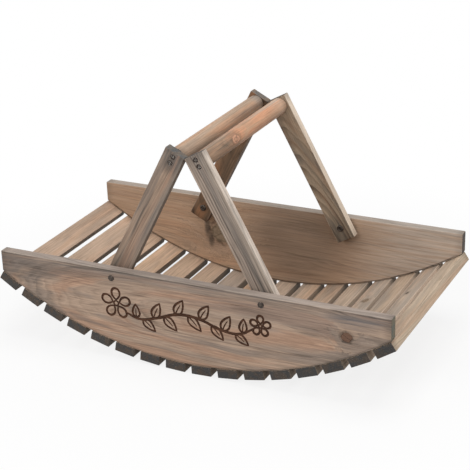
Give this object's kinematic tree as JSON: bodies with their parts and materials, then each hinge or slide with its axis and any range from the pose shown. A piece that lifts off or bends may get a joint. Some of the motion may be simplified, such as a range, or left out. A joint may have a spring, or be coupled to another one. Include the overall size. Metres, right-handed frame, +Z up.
{
  "type": "flower trug",
  "caption": "Slatted wooden trug for carrying cut flowers, with bowed side boards and hinged U-shaped handles that meet over the middle and fold outwards over the ends.",
  "frame": {"origin": "on the ground under the middle of the trug, level with the undersides of its lowest slats", "axes": "+Z up, +X along the side boards towards the right end, +Y across the trug towards the back board"},
  "size_m": [0.613, 0.3192, 0.3264],
  "materials": {
    "front_board_wood": "weathered grey-brown stained softwood",
    "back_board_wood": "warm brown stained softwood",
    "slat_wood_warm": "warm tan stained softwood",
    "slat_wood_grey": "greyed stained softwood",
    "left_arm_wood": "reddish-brown stained softwood",
    "right_arm_wood": "grey-brown stained softwood",
    "left_grip_wood": "light tan dowel",
    "right_grip_wood": "salmon-tan dowel",
    "pivot_steel": "dark browned steel",
    "screw_steel": "dull steel"
  },
  "bodies": {
    "tray": {"side_board_front": "front_board_wood", "side_board_back": "back_board_wood", "slat_01": "slat_wood_warm", "slat_02": "slat_wood_warm", "slat_03": "slat_wood_warm", "slat_04": "slat_wood_warm", "slat_05": "slat_wood_warm", "slat_06": "slat_wood_warm", "slat_07": "slat_wood_warm", "slat_08": "slat_wood_warm", "slat_09": "slat_wood_grey", "slat_10": "slat_wood_grey", "slat_11": "slat_wood_grey", "slat_12": "slat_wood_grey", "slat_13": "slat_wood_grey", "slat_14": "slat_wood_grey", "slat_15": "slat_wood_grey", "slat_16": "slat_wood_grey", "pivot_bolt_left_front": "pivot_steel", "pivot_bolt_left_back": "pivot_steel", "pivot_bolt_right_front": "pivot_steel", "pivot_bolt_right_back": "pivot_steel", "pivot_spacer_left_front": "pivot_steel", "pivot_spacer_left_back": "pivot_steel", "pivot_spacer_right_front": "pivot_steel", "pivot_spacer_right_back": "pivot_steel", "sleeve_nut_left_front": "pivot_steel", "sleeve_nut_left_back": "pivot_steel", "sleeve_nut_right_front": "pivot_steel", "sleeve_nut_right_back": "pivot_steel"},
    "left_handle": {"arm_left_front": "left_arm_wood", "arm_left_back": "left_arm_wood", "grip_left": "left_grip_wood", "grip_screw_left_front_upper": "screw_steel", "grip_screw_left_front_lower": "screw_steel", "grip_screw_left_back_upper": "screw_steel", "grip_screw_left_back_lower": "screw_steel"},
    "right_handle": {"arm_right_front": "right_arm_wood", "arm_right_back": "right_arm_wood", "grip_right": "right_grip_wood", "grip_screw_right_front_upper": "screw_steel", "grip_screw_right_front_lower": "screw_steel", "grip_screw_right_back_upper": "screw_steel", "grip_screw_right_back_lower": "screw_steel"}
  },
  "joints": [
    {"name": "left_handle_fold", "type": "hinge", "parent": "tray", "child": "left_handle", "pos_m": [-0.1155, 0, 0.12697], "axis": [0, -1, 0], "range_deg": [0, 119]},
    {"name": "right_handle_fold", "type": "hinge", "parent": "tray", "child": "right_handle", "pos_m": [0.1155, 0, 0.12697], "axis": [0, 1, 0], "range_deg": [0, 119]}
  ]
}
